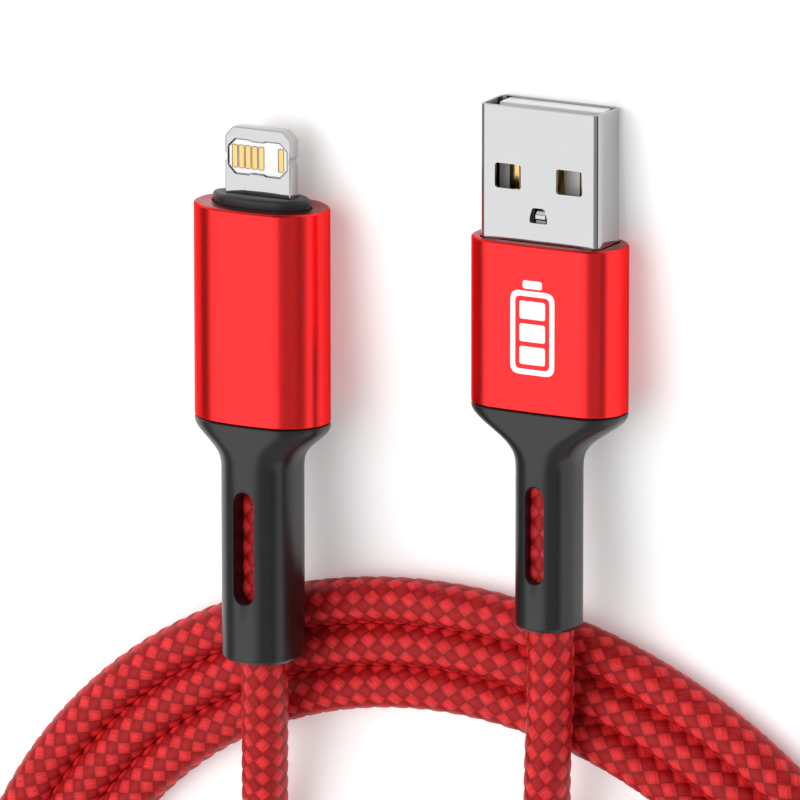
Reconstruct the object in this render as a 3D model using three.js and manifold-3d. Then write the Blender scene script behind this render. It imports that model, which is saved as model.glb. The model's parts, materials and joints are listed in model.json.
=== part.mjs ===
// Braided charging cable: a wide steel plug and a slim steel plug, side by side, on one cord.
// Millimetres, +Z up. The plugs lie on the floor plane with their tips toward +Y and their boots
// resting over the cord's coil. The origin is under the centre of the two plugs.
import * as THREE from 'three';
import { mergeVertices } from 'three/addons/utils/BufferGeometryUtils.js';
import Module from 'manifold-3d';

const wasm = await Module();
wasm.setup();

// ---- driving dimensions -------------------------------------------------------------------------

const fit = 0.05;            // gap between small pressed or soldered pieces
const clearance = 0.3;       // gap around the cord and between cord pieces
const cornerSteps = 6;       // facets on a quarter-round corner
const faceSteps = 6;         // facets across a broad face

const cord = { diameter: 4.3, sides: 10, lanePitch: 4.05, lanes: 3 };
const tailSteps = 22;

const typeA = {
  shield: { width: 12, thickness: 4.5, wall: 0.3, corner: 0.7, exposed: 12.1, hidden: 3.5 },
  window: { width: 2.6, height: 2.25, spread: 3.05, fromTip: 6.3 },
  tabHole: { wide: 1.75, narrow: 1.1, height: 1.6, fromTip: 9.6 },
  tongue: { thickness: 1.85, fromTip: 0.5 },
  contact: { width: 1, thickness: 0.2, spread: [-3.5, -1, 1, 3.5], outerLength: 8.9, innerLength: 7.9 },
  sleeve: { width: 14.8, thickness: 6.7, corner: 2.9, crown: 0.12, length: 15.2, wall: 0.7 },
  boot: { length: 20.2, skirt: 0.7, flare: 4.5 },
  neck: { width: 5.6, thickness: 5.9, corner: 2.35 },
  slot: { width: 1.8, length: 8.8, fromEnd: 4.5 },
};

const slim = {
  frame: { width: 6.7, thickness: 1.5, exposed: 7, hidden: 4, chamfer: 0.8 },
  detent: { radius: 0.6, depth: 0.2, fromTip: 2.8 },
  window: { width: 5.9, height: 3.1, chamfer: 0.7, fromTip: 2.7 },
  insulator: { thickness: 1.4 },
  contact: { width: 0.5, height: 2.1, thickness: 0.16, pitch: 0.675, places: [0, 1, 2, 3, 4, 7] },
  contactPlaces: 8,
  collar: { width: 9.5, thickness: 4.4, corner: 2.1, crown: 0.35, exposed: 0.85, hidden: 2.4 },
  board: { width: 6.2, thickness: 0.6, length: 6 },
  chip: { width: 2.4, thickness: 0.7, length: 2.2 },
  sleeve: { width: 13, thickness: 8, corner: 3.5, crown: 0.38, length: 19.7, wall: 1 },
  boot: { length: 22.2, skirt: 0.8, flare: 5.2 },
  neck: { width: 6.9, thickness: 7.2, corner: 2.9 },
  slot: { width: 2.1, length: 10.3, fromEnd: 4.9 },
};

const rimChamfer = 0.35;
const wire = { radius: 0.32, sides: 8 };
const ferrule = { inner: 2.45, outer: 2.85, length: 3, behindSleeve: 0.8 };
const cordStart = 2.2;       // how far behind the sleeve the cord begins, inside the ferrule
const plugSpacing = 28.82;   // distance between the two plugs' centre lines
const slimAdvance = 0.29;    // how far the slim sleeve's front rim lies ahead of the wide one's

// The coil lies in an oval: a wide arc under the boots, two tighter corners and a straight far side.
const coil = { x: -0.26, y: -74.6, topRadius: 54.8, cornerRadius: 28 };
coil.halfAngle = THREE.MathUtils.degToRad(70);
coil.width = cord.lanePitch * (cord.lanes - 1) + cord.diameter;
coil.height = cord.diameter;
coil.crossing = 36.7;        // from the slim sleeve's front rim back to where its boot rests on the coil

// ---- materials ----------------------------------------------------------------------------------

function paint(color, roughness, metalness) {
  return new THREE.MeshStandardMaterial({ color, roughness, metalness });
}

const steel = paint('#c9cacc', 0.22, 1);
const redAluminium = paint('#c91416', 0.35, 1);
const blackRubber = paint('#26272a', 0.6, 0);
const whitePlastic = paint('#efefec', 0.4, 0);
const blackPlastic = paint('#1d1e20', 0.45, 0);
const gold = paint('#d9b25a', 0.25, 1);
const innerPlastic = paint('#d8d6cf', 0.6, 0);
const greenBoard = paint('#1d5a34', 0.5, 0);
const braid = paint('#c01c20', 0.75, 0);
const wireColours = ['#b01818', '#e6e6e6', '#1f7a3a', '#161616'];

// ---- geometry helpers ---------------------------------------------------------------------------

// Points round a rectangle with rounded corners, anticlockwise about its centre. A crown thins the
// section towards its sides, as a fraction of the thickness, so that its broad faces are convex.
function roundedRing({ width, thickness, corner, crown = 0 }, inset = 0) {
  const radius = Math.max(corner - inset, 0.05);
  const cx = width / 2 - inset - radius;
  const cy = thickness / 2 - inset - radius;
  const ring = [];
  [[1, 1], [-1, 1], [-1, -1], [1, -1]].forEach(([sx, sy], quarter) => {
    for (let i = 0; i <= cornerSteps; i++) {
      const angle = (quarter + i / cornerSteps) * Math.PI / 2;
      ring.push(new THREE.Vector2(sx * cx + radius * Math.cos(angle), sy * cy + radius * Math.sin(angle)));
    }
    if (quarter % 2 === 1) return;
    for (let i = 1; i < faceSteps; i++) {
      const x = sx * cx * (1 - 2 * i / faceSteps);
      ring.push(new THREE.Vector2(x, sy * (cy + radius)));
    }
  });
  for (const point of ring) point.y *= 1 - crown * (2 * point.x / width) ** 2;
  return ring;
}

// A closed skin through sections { y, ring } listed from the back to the tip, capped at both ends.
// A ring's x runs across the plug and its y up through the plug's thickness.
function loft(sections) {
  const count = sections[0].ring.length;
  const positions = [];
  const indices = [];
  for (const { y, ring } of sections) {
    for (const point of ring) positions.push(point.x, y, point.y);
  }
  for (let s = 0; s + 1 < sections.length; s++) {
    for (let i = 0; i < count; i++) {
      const a = s * count + i;
      const b = s * count + (i + 1) % count;
      indices.push(a, a + count, b, b, a + count, b + count);
    }
  }
  const last = (sections.length - 1) * count;
  for (let i = 1; i + 1 < count; i++) {
    indices.push(0, i, i + 1);
    indices.push(last, last + i + 1, last + i);
  }
  const geometry = new THREE.BufferGeometry();
  geometry.setAttribute('position', new THREE.Float32BufferAttribute(positions, 3));
  geometry.setIndex(indices);
  return geometry;
}

// A straight bar of rounded-rectangle section from y = back to y = front.
function bar(section, back, front, inset = 0) {
  return loft([back, front].map((y) => ({ y, ring: roundedRing(section, inset) })));
}

// A round bar along the plug from y = back to y = front.
function rod(radius, back, front, sides = 24) {
  return new THREE.CylinderGeometry(radius, radius, front - back, sides).translate(0, (back + front) / 2, 0);
}

// An outline drawn across (x) and along (y) the plug, as thick as asked and centred on z.
function plate(shape, thickness, z = 0) {
  const options = { depth: thickness, bevelEnabled: false, curveSegments: 6 };
  return new THREE.ExtrudeGeometry(shape, options).translate(0, 0, z - thickness / 2);
}

// The outline of a rectangle with chamfered corners.
function chamferedRectangle(width, height, chamfer, x = 0, y = 0) {
  const w = width / 2;
  const h = height / 2;
  const c = chamfer;
  const corners = [
    [w, c - h], [w, h - c], [w - c, h], [c - w, h],
    [-w, h - c], [-w, c - h], [c - w, -h], [w - c, -h],
  ];
  return new THREE.Shape(corners.map(([px, py]) => new THREE.Vector2(x + px, y + py)));
}

function box(width, length, thickness, x, y, z) {
  return new THREE.BoxGeometry(width, length, thickness).translate(x, y, z);
}

function toSolid(geometry) {
  const bare = geometry.index ? geometry.clone() : geometry;
  bare.deleteAttribute('normal');
  bare.deleteAttribute('uv');
  const merged = mergeVertices(bare, 1e-5);
  return new wasm.Manifold(new wasm.Mesh({
    numProp: 3,
    vertProperties: merged.attributes.position.array,
    triVerts: new Uint32Array(merged.index.array),
  }));
}

function toGeometry(solid) {
  const mesh = solid.getMesh();
  const geometry = new THREE.BufferGeometry();
  geometry.setAttribute('position', new THREE.BufferAttribute(mesh.vertProperties, 3));
  geometry.setIndex(new THREE.BufferAttribute(mesh.triVerts, 1));
  return geometry;
}

function cut(geometry, ...tools) {
  return toGeometry(tools.reduce((solid, tool) => solid.subtract(toSolid(tool)), toSolid(geometry)));
}

function tube(points, radius, sides, steps) {
  const section = new THREE.Shape();
  section.absarc(0, 0, radius, 0, 2 * Math.PI);
  const path = new THREE.CatmullRomCurve3(points.map((point) => new THREE.Vector3(...point)));
  const options = { steps, bevelEnabled: false, extrudePath: path, curveSegments: sides };
  return new THREE.ExtrudeGeometry(section, options);
}

function named(name, geometry, material) {
  const mesh = new THREE.Mesh(geometry, material);
  mesh.name = name;
  return mesh;
}

// ---- pieces that both plugs have ------------------------------------------------------------------
// In a plug's own frame x runs across it, +Y points to its tip and +Z out of its front face. The
// sleeve's front rim is at y = 0 and the centre line is the Y axis.

// The straight-sided hollow inside a sleeve.
function hollowOf(sleeve) {
  return { ...sleeve, crown: 0 };
}

// An aluminium tube with a chamfered front rim, whose end wall closes in round the steel plug.
function sleeveGeometry({ sleeve }, opening) {
  const outer = loft([
    { y: -sleeve.length, ring: roundedRing(sleeve) },
    { y: -rimChamfer, ring: roundedRing(sleeve) },
    { y: 0, ring: roundedRing(sleeve, rimChamfer) },
  ]);
  const inside = bar(hollowOf(sleeve), -sleeve.length - 1, -sleeve.wall, sleeve.wall);
  return cut(outer, inside, bar(opening, -sleeve.wall - 1, 1, -clearance / 2));
}

// The boot's section a fraction of the way down the flare, easing in from the skirt to the neck.
function flareRing(sleeve, neck, fraction) {
  const ease = 1 - (1 - fraction ** 1.2) ** 2.6;
  const blend = (key) => THREE.MathUtils.lerp(sleeve[key], neck[key] ?? 0, ease);
  const [width, thickness, corner, crown] = ['width', 'thickness', 'corner', 'crown'].map(blend);
  return roundedRing({ width, thickness, corner, crown });
}

// A moulded boot behind the sleeve, bored for the cord, with a long slot through each broad face.
function bootGeometry({ sleeve, boot, neck, slot }) {
  const front = -sleeve.length - fit;
  const back = -sleeve.length - boot.length;
  const sections = [{ y: back, ring: roundedRing(neck) }];
  const flareSteps = 8;
  for (let i = flareSteps; i >= 0; i--) {
    const fraction = i / flareSteps;
    sections.push({ y: front - boot.skirt - fraction * boot.flare, ring: flareRing(sleeve, neck, fraction) });
  }
  sections.push({ y: front, ring: roundedRing(sleeve) });
  const bore = rod(cord.diameter / 2 + clearance / 2, back - 1, front + 1);
  const seatBack = front - ferrule.behindSleeve - ferrule.length - clearance;
  const ferruleSeat = rod(ferrule.outer + fit, seatBack, front + 1);
  const slotOutline = new THREE.Shape();
  const slotEnd = slot.width / 2;
  slotOutline.absarc(0, back + slot.fromEnd + slotEnd, slotEnd, Math.PI, 2 * Math.PI);
  slotOutline.absarc(0, back + slot.fromEnd + slot.length - slotEnd, slotEnd, 0, Math.PI);
  return cut(loft(sections), bore, ferruleSeat, plate(slotOutline, neck.thickness + 2));
}

// A steel ring crimped round the braid's end, just behind the sleeve.
function ferruleGeometry({ sleeve }) {
  const front = -sleeve.length - fit - ferrule.behindSleeve;
  const back = front - ferrule.length;
  return cut(rod(ferrule.outer, back, front), rod(ferrule.inner, back - 1, front + 1));
}

// A moulded block that fills the sleeve from behind the plug, with a flat duct for the wires.
function innerBlockGeometry({ sleeve }, front, ductWidth) {
  const block = bar(hollowOf(sleeve), -sleeve.length + fit, front, sleeve.wall + clearance / 2);
  const duct = box(ductWidth, sleeve.length * 2, 4 * wire.radius + 2 * fit, 0, front - sleeve.length / 2, 0);
  return cut(block, duct);
}

// Four wires that run from the plug's solder points back into the cord's end.
function addWires(plug, prefix, { sleeve }, spreads, front, z) {
  const back = -sleeve.length - cordStart + clearance;
  const drop = sleeve.length - clearance;
  spreads.forEach((x, i) => {
    const gathered = (i - 1.5) * (2 * wire.radius + 0.2);
    const route = [[x, front, z], [x, front - 1.5, z], [gathered, -drop + 1.5, 0], [gathered, back, 0]];
    const material = paint(wireColours[i], 0.5, 0);
    plug.add(named(`${prefix}_wire_${i + 1}`, tube(route, wire.radius, wire.sides, 8), material));
  });
}

// ---- the wide plug --------------------------------------------------------------------------------

function shieldGeometry() {
  const { shield, window, tabHole } = typeA;
  const tip = shield.exposed;
  const skin = bar(shield, -shield.hidden, tip);
  const mouth = bar(shield, -shield.hidden - 1, tip + 1, shield.wall);
  const windows = [-1, 1].map((side) => box(
    window.width, window.height, shield.thickness + 2, side * window.spread, tip - window.fromTip, 0));
  const wide = tabHole.wide / 2;
  const narrow = tabHole.narrow / 2;
  const top = tip - tabHole.fromTip + tabHole.height / 2;
  const bottom = top - tabHole.height;
  const corners = [[-wide, bottom], [wide, bottom], [narrow, top], [-narrow, top]];
  const outline = new THREE.Shape(corners.map(([x, y]) => new THREE.Vector2(x, y)));
  const tab = plate(outline, shield.thickness, shield.thickness / 2);
  return cut(skin, mouth, ...windows, tab);
}

function buildTypeA() {
  const plug = new THREE.Group();
  const { shield, tongue, contact, sleeve } = typeA;
  plug.add(named('type_a_shield', shieldGeometry(), steel));

  const innerWidth = shield.width - 2 * shield.wall - 2 * fit;
  const floor = -shield.thickness / 2 + shield.wall + fit;
  const tongueFront = shield.exposed - tongue.fromTip;
  const tongueLength = tongueFront + shield.hidden;
  const tongueTop = floor + tongue.thickness;
  plug.add(named('type_a_tongue', box(innerWidth - 1, tongueLength, tongue.thickness,
    0, tongueFront - tongueLength / 2, floor + tongue.thickness / 2), whitePlastic));

  contact.spread.forEach((x, i) => {
    const length = Math.abs(x) > 2 ? contact.outerLength : contact.innerLength;
    const front = tongueFront - 1.2 - (contact.outerLength - length);
    const slab = box(contact.width, front + shield.hidden, contact.thickness,
      x, (front - shield.hidden) / 2, tongueTop + fit + contact.thickness / 2);
    plug.add(named(`type_a_contact_${i + 1}`, slab, gold));
  });

  const solder = -shield.hidden - fit;
  plug.add(named('type_a_inner_block', innerBlockGeometry(typeA, solder, 9), innerPlastic));
  addWires(plug, 'type_a', typeA, contact.spread, solder - fit, 0);
  plug.add(named('type_a_sleeve', sleeveGeometry(typeA, shield), redAluminium));
  plug.add(named('type_a_ferrule', ferruleGeometry(typeA), steel));
  plug.add(named('type_a_boot', bootGeometry(typeA), blackRubber));
  return plug;
}

// ---- the slim plug --------------------------------------------------------------------------------

// A steel tongue with chamfered corners, a scoop in each edge for the socket's springs, and a
// window through it for the contacts.
function frameGeometry() {
  const { frame, detent, window } = slim;
  const tip = frame.exposed;
  const length = frame.exposed + frame.hidden;
  const outline = chamferedRectangle(frame.width, length, frame.chamfer, 0, tip - length / 2);
  const centre = frame.width / 2 + detent.radius - detent.depth;
  const scoops = [-1, 1].map((side) => rod(detent.radius, -frame.thickness, frame.thickness, 16)
    .rotateX(Math.PI / 2).translate(side * centre, tip - detent.fromTip, 0));
  const opening = chamferedRectangle(window.width, window.height, window.chamfer, 0, tip - window.fromTip);
  const wiringSlot = box(frame.width - 1.2, frame.hidden, frame.thickness + 2, 0, -frame.hidden, 0);
  return cut(plate(outline, frame.thickness), ...scoops, plate(opening, frame.thickness + 2), wiringSlot);
}

function slimContactX(place) {
  return (place - (slim.contactPlaces - 1) / 2) * slim.contact.pitch;
}

function buildSlim() {
  const plug = new THREE.Group();
  const { frame, window, insulator, contact, collar, board, chip } = slim;
  plug.add(named('slim_frame', frameGeometry(), steel));

  const windowY = frame.exposed - window.fromTip;
  const blockWidth = window.width - 2 * fit;
  const block = chamferedRectangle(blockWidth, window.height - 2 * fit, window.chamfer, 0, windowY);
  const pockets = [];
  [['front', 1], ['back', -1]].forEach(([face, side]) => {
    contact.places.forEach((place, i) => {
      const x = side * slimContactX(place);
      const z = side * (insulator.thickness / 2 - contact.thickness / 2);
      const pocketDepth = contact.thickness + 2 * fit;
      pockets.push(box(contact.width + 0.06, contact.height + 0.06, pocketDepth, x, windowY, z));
      const pad = box(contact.width, contact.height, contact.thickness, x, windowY, z);
      plug.add(named(`slim_contact_${face}_${i + 1}`, pad, gold));
    });
  });
  plug.add(named('slim_insulator', cut(plate(block, insulator.thickness), ...pockets), whitePlastic));

  const tongueHole = bar({ width: frame.width + 2 * fit, thickness: frame.thickness + 2 * fit, corner: 0.1 },
    -frame.hidden - 1, frame.exposed);
  plug.add(named('slim_collar', cut(bar(collar, -collar.hidden, collar.exposed), tongueHole), blackPlastic));

  const boardFront = -frame.hidden - fit;
  const boardBack = boardFront - board.length;
  plug.add(named('slim_circuit_board', box(board.width, board.length, board.thickness,
    0, boardFront - board.length / 2, 0), greenBoard));
  plug.add(named('slim_chip', box(chip.width, chip.length, chip.thickness,
    0, boardFront - board.length / 2, (board.thickness + chip.thickness) / 2 + fit), blackPlastic));

  const blockFront = boardBack - fit;
  plug.add(named('slim_inner_block', innerBlockGeometry(slim, blockFront, 6.4), innerPlastic));
  addWires(plug, 'slim', slim, [-2.1, -0.7, 0.7, 2.1], blockFront, 0);
  plug.add(named('slim_sleeve', sleeveGeometry(slim, collar), redAluminium));
  plug.add(named('slim_ferrule', ferruleGeometry(slim), steel));
  plug.add(named('slim_boot', bootGeometry(slim), blackRubber));
  return plug;
}

// ---- the plugs on the floor -------------------------------------------------------------------------

// Both plugs lie on the sleeve's lower front rim and lean on the coil behind, so they tip forward.
const lift = coil.height + fit + slim.neck.thickness / 2 - slim.sleeve.thickness / 2;
const tilt = Math.asin(lift / coil.crossing);

const plugs = new THREE.Group();
const widePlug = buildTypeA();
const slimPlug = buildSlim();
const places = [[widePlug, typeA, plugSpacing / 2], [slimPlug, slim, -plugSpacing / 2]];
for (const [plug, { sleeve }, x] of places) {
  plug.rotation.x = -tilt;
  plug.position.set(x, 0, sleeve.thickness / 2 * Math.cos(tilt));
  plugs.add(plug);
}
slimPlug.position.y = slimAdvance;
const footprint = new THREE.Box3().setFromObject(plugs);
const middle = footprint.getCenter(new THREE.Vector3());
plugs.position.set(-middle.x, -middle.y, -footprint.min.z);
plugs.updateMatrixWorld(true);

// ---- the cord -----------------------------------------------------------------------------------------

// The oval outline of the coil, drawn in by an inset from its outer edge.
function ovalPath(path, inset) {
  const { x, y, topRadius, cornerRadius, halfAngle } = coil;
  const reach = topRadius - cornerRadius;
  const cornerX = reach * Math.sin(halfAngle);
  const cornerY = y + reach * Math.cos(halfAngle);
  const top = Math.PI / 2;
  path.absarc(x, y, topRadius - inset, top - halfAngle, top + halfAngle);
  path.absarc(x - cornerX, cornerY, cornerRadius - inset, top + halfAngle, 3 * top);
  path.absarc(x + cornerX, cornerY, cornerRadius - inset, -top, top - halfAngle);
  return path;
}

function coilGeometry() {
  const outline = ovalPath(new THREE.Shape(), 0);
  outline.holes.push(ovalPath(new THREE.Path(), coil.width));
  return new THREE.ExtrudeGeometry(outline, { depth: coil.height, bevelEnabled: false, curveSegments: 20 });
}

// A tail leaves its boot along the boot's line and follows its own hand-laid route from there.
function tailGeometry(plug, { sleeve, boot }, route) {
  const along = (y) => plug.localToWorld(new THREE.Vector3(0, y, 0)).toArray();
  const end = -sleeve.length - boot.length;
  const points = [along(-sleeve.length - cordStart), along(end + 6), along(end), ...route];
  return tube(points, cord.diameter / 2, cord.sides, tailSteps);
}

// The wide plug's tail crosses over the coil, sags inside it and crosses over its far side.
const typeARoute = [
  [13.8, -25, 6.95], [13.4, -28, 6.85], [13.05, -31, 6.75], [12.7, -34, 6.65], [12.05, -37.3, 6],
  [11.3, -40.8, 4.7], [10.7, -45, 3.5], [10.4, -50, 2.6], [10.5, -55, 2.35], [10.6, -60, 2.7],
  [9.9, -65, 3.8], [8, -69.7, 5.3], [5.1, -73.9, 6.6], [1.3, -77.5, 6.85], [-3.1, -80.6, 6.85],
  [-7.9, -83.5, 6.85], [-12.7, -86.6, 6.8],
];
// The slim plug's tail crosses over the coil and comes down to the floor beside its inner edge.
const slimRoute = [
  [-15.3, -30.4, 8], [-15.9, -33.1, 7.3], [-16.4, -35.9, 6.75], [-17.05, -38.7, 5.9], [-17.85, -41.7, 4.8],
  [-18.7, -45.1, 3.7], [-19.2, -50, 2.7], [-18.9, -55.5, 2.3], [-17.6, -61.3, 2.25], [-14.4, -67, 2.25],
  [-9.6, -71.8, 2.25], [-3.4, -75.6, 2.25], [3.8, -78.4, 2.25],
];

const cable = new THREE.Group();
cable.add(plugs);
cable.add(named('cord_coil', coilGeometry(), braid));
cable.add(named('cord_tail_type_a', tailGeometry(widePlug, typeA, typeARoute), braid));
cable.add(named('cord_tail_slim', tailGeometry(slimPlug, slim, slimRoute), braid));

export default cable;
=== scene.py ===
"""Braided charging cable: two plugs with metal sleeves and slotted boots on one coiled cord."""
import json
import math

import bmesh
import bpy
import numpy as np
from mathutils import Matrix, Vector


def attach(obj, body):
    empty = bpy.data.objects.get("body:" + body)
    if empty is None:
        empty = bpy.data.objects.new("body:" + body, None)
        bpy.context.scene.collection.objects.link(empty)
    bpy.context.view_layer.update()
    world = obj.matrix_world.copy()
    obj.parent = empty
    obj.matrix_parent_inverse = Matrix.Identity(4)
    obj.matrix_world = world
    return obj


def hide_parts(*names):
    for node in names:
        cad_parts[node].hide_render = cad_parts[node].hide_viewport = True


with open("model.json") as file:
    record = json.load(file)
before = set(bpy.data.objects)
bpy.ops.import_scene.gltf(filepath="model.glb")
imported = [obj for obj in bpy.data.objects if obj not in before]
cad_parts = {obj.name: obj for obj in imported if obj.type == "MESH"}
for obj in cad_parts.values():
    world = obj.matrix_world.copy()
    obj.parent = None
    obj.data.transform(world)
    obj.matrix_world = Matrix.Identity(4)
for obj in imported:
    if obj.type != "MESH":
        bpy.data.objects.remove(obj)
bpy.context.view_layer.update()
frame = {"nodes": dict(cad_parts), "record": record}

MM = 0.001
BODY = "root"
CORNER_STEPS = 14            # facets on a quarter-round corner
FACE_STEPS = 16              # facets across a broad face
ROUND_STEPS = 4              # facets on a small edge rounding

# ---- driving sizes, in millimetres, in each plug's own frame -------------------------------------
# x runs across a plug, y along it to the tip and z out of its front face. The sleeve's front rim is
# at y = 0. A section is (width, thickness, corner radius, crown), where the crown is the part of the
# thickness that convex broad faces lose at the section's sides.

FIT = 0.05                   # gap between pressed pieces

TYPE_A = {
    "shield": (12.0, 4.5, 0.75, 0.0), "shield_wall": 0.3, "exposed": 12.1, "hidden": 3.5,
    "window": (2.6, 2.25), "window_spread": 3.05, "window_from_tip": 6.3,
    "tab_hole": (1.75, 1.2, 1.38), "tab_from_tip": 9.6,
    "tongue_thickness": 1.85, "tongue_from_tip": 0.15,
    "contact_width": 1.0, "contact_places": (-3.5, -1.0, 1.0, 3.5),
    "contact_lengths": (8.9, 7.9, 7.9, 8.9),
    "sleeve": (14.8, 6.7, 2.9, 0.12), "sleeve_length": 15.2, "sleeve_wall": 0.7,
    "neck": (5.8, 6.0, 2.65, 0.0), "boot_length": 20.2, "skirt": 0.2, "flare": 6.0,
    "slot_width": 1.8, "slot_length": 8.8, "slot_from_end": 4.5,
    "mount_from_rim": 9.5,
}
SLIM = {
    "frame": (6.7, 1.5), "exposed": 7.0, "hidden": 4.0, "frame_chamfer": 0.8,
    "detent_radius": 0.6, "detent_depth": 0.2, "detent_from_tip": 2.8,
    "window": (5.9, 3.1), "window_chamfer": 0.7, "window_from_tip": 2.7,
    "contact": (0.55, 2.1), "contact_pitch": 0.675, "contact_places": (0, 1, 2, 3, 4, 7), "places": 8,
    "insulator_thickness": 1.4,
    "collar": (9.8, 4.5, 2.15, 0.45), "collar_exposed": 0.85, "collar_hidden": 2.4,
    "sleeve": (13.0, 8.0, 3.5, 0.25), "sleeve_length": 19.7, "sleeve_wall": 1.0,
    "neck": (7.2, 7.4, 3.3, 0.0), "boot_length": 22.2, "skirt": 0.3, "flare": 4.7,
    "slot_width": 2.1, "slot_length": 10.3, "slot_from_end": 5.6,
}

# ---- the plugs' places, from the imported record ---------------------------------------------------


def mount(name):
    return next(m for m in frame["record"]["mounts"] if m["name"] == name)


def plug_matrix(origin, along):
    """The matrix from a plug's own frame in millimetres to the row frame in metres."""
    across = Vector((1, 0, 0))
    out = across.cross(along)
    turn = Matrix((across, along, out)).transposed().to_4x4()
    return Matrix.Translation(origin) @ turn @ Matrix.Scale(MM, 4)


tip_mount = mount("tongue_tip")
ALONG = Vector(tip_mount["axis"]).normalized()
OUT = Vector((1, 0, 0)).cross(ALONG)
slim_origin = Vector(tip_mount["pos_m"]) - ALONG * SLIM["exposed"] * MM
shield_middle = Vector(mount("shield_face")["pos_m"]) - OUT * TYPE_A["shield"][1] / 2 * MM
type_a_origin = shield_middle - ALONG * TYPE_A["mount_from_rim"] * MM
SLIM_AT = plug_matrix(slim_origin, ALONG)
TYPE_A_AT = plug_matrix(type_a_origin, ALONG)

# ---- the camera ----------------------------------------------------------------------------------

CAMERA_AZIMUTH = math.radians(35.34)     # from +X towards +Y
CAMERA_ELEVATION = math.radians(55.37)
CAMERA_ROLL = math.radians(-123.43)
CAMERA_DISTANCE = 1.0
CAMERA_LENS = 500.0                      # a long lens, so that the two plugs keep parallel edges
VIEW_CENTRE = Vector((-0.00415, -0.0037, 0.0))


def add_camera():
    back = Vector((
        math.cos(CAMERA_ELEVATION) * math.cos(CAMERA_AZIMUTH),
        math.cos(CAMERA_ELEVATION) * math.sin(CAMERA_AZIMUTH),
        math.sin(CAMERA_ELEVATION),
    ))
    level = Vector((0, 0, 1)).cross(back).normalized()
    turn = Matrix((level, back.cross(level), back)).transposed()
    turn = turn @ Matrix.Rotation(CAMERA_ROLL, 3, "Z")
    data = bpy.data.cameras.new("camera")
    data.lens = CAMERA_LENS
    data.sensor_width = 36
    data.clip_start = 0.01
    camera = bpy.data.objects.new("camera", data)
    camera.matrix_world = Matrix.Translation(VIEW_CENTRE + back * CAMERA_DISTANCE) @ turn.to_4x4()
    bpy.context.scene.collection.objects.link(camera)
    bpy.context.scene.camera = camera


add_camera()

# ---- the cord's route ----------------------------------------------------------------------------

CORD = 4.3                   # diameter
LANE_PITCH = 4.05            # between strands that lie side by side
LANES = 3
COIL_X, COIL_Y = -0.26, -74.6
COIL_TOP_RADIUS = 54.8       # of the coil's outer edge, under the boots
COIL_CORNER_RADIUS = 28.0
COIL_HALF_ANGLE = 70         # degrees of the wide arc, each side of its middle
FLOOR_Z = CORD / 2 + 0.03    # of the coil's centreline
CORD_START = 2.2             # behind the sleeve, inside the boot
YARNS = 8                    # carriers each way round
BRAID_PITCH = 15.2           # along the cord, for one turn of a yarn
CELL_STEPS = 4               # mesh faces along each side of one diamond
BRAID_RELIEF = 0.11          # how far a yarn's crown stands over the valleys
YARN_ARCH = 0.45             # under 1 gives a yarn a flat top and steep sides
ROUTE_STEP = 0.5             # between the route's samples
ROUTE_PASSES = 80            # of evening out its small bends
CORNER_POINTS, WIDE_POINTS, FAR_POINTS = 9, 18, 6        # spans along each piece of a coil's turn

# Points that the tails follow from the boots' ends, chosen as a limp cord would lie.
TYPE_A_ROUTE = [
    (13.8, -25, 6.95), (13.4, -28, 6.85), (13.05, -31, 6.75), (12.7, -34, 6.65), (12.05, -37.3, 6),
    (11.3, -40.8, 4.7), (10.7, -45, 3.5), (10.4, -50, 2.6), (10.5, -55, 2.35), (10.6, -60, 2.7),
    (9.9, -65, 3.8), (8, -69.7, 5.3), (5.1, -73.9, 6.6), (1.3, -77.5, 6.85), (-3.1, -80.6, 6.85),
    (-7.9, -83.5, 6.85), (-12.7, -86.6, 6.8), (-17.3, -89.4, 6.15), (-22.1, -91.2, 4.1),
]
SLIM_ROUTE = [
    (-15.3, -30.4, 8), (-15.9, -33.1, 7.3), (-16.4, -35.9, 6.75), (-17.05, -38.7, 5.9),
    (-17.85, -41.7, 4.8), (-18.7, -45.1, 3.7), (-19.2, -50, 2.7), (-18.9, -55.5, 2.3),
    (-17.6, -61.3, 2.25), (-14.4, -67, 2.25), (-9.6, -71.8, 2.25), (-3.4, -75.6, 2.25),
    (3.8, -78.4, 2.25), (11.7, -80.9, 2.2), (18.7, -82.6, 2.18),
]


def boot_points(plug_at, plug):
    """The cord's points inside a boot, from its hidden end out to the boot's end, in millimetres."""
    start = -plug["sleeve_length"] - CORD_START
    end = -plug["sleeve_length"] - plug["boot_length"]
    stops = (start, (start * 2 + end) / 3, (start + end * 2) / 3, end)
    return [plug_at @ Vector((0, y, 0)) / MM for y in stops]


def arc(centre_x, centre_y, radius, start, stop, steps):
    for i in range(steps + 1):
        angle = math.radians(start + (stop - start) * i / steps)
        yield (centre_x + radius * math.cos(angle), centre_y + radius * math.sin(angle), FLOOR_Z)


def coil_turn(lane):
    """One turn in a lane, counted from the inside: right corner, wide arc, left corner."""
    inset = CORD / 2 + (LANES - 1 - lane) * LANE_PITCH
    reach = COIL_TOP_RADIUS - COIL_CORNER_RADIUS
    corner_x = reach * math.sin(math.radians(COIL_HALF_ANGLE))
    corner_y = COIL_Y + reach * math.cos(math.radians(COIL_HALF_ANGLE))
    wide_start = 90 - COIL_HALF_ANGLE
    corner = COIL_CORNER_RADIUS - inset
    wide_stop = 180 - wide_start
    wide = COIL_TOP_RADIUS - inset
    points = list(arc(COIL_X + corner_x, corner_y, corner, -90, wide_start, CORNER_POINTS))
    points += list(arc(COIL_X, COIL_Y, wide, wide_start, wide_stop, WIDE_POINTS))[1:]
    points += list(arc(COIL_X - corner_x, corner_y, corner, wide_stop, 270, CORNER_POINTS))[1:]
    return points


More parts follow.
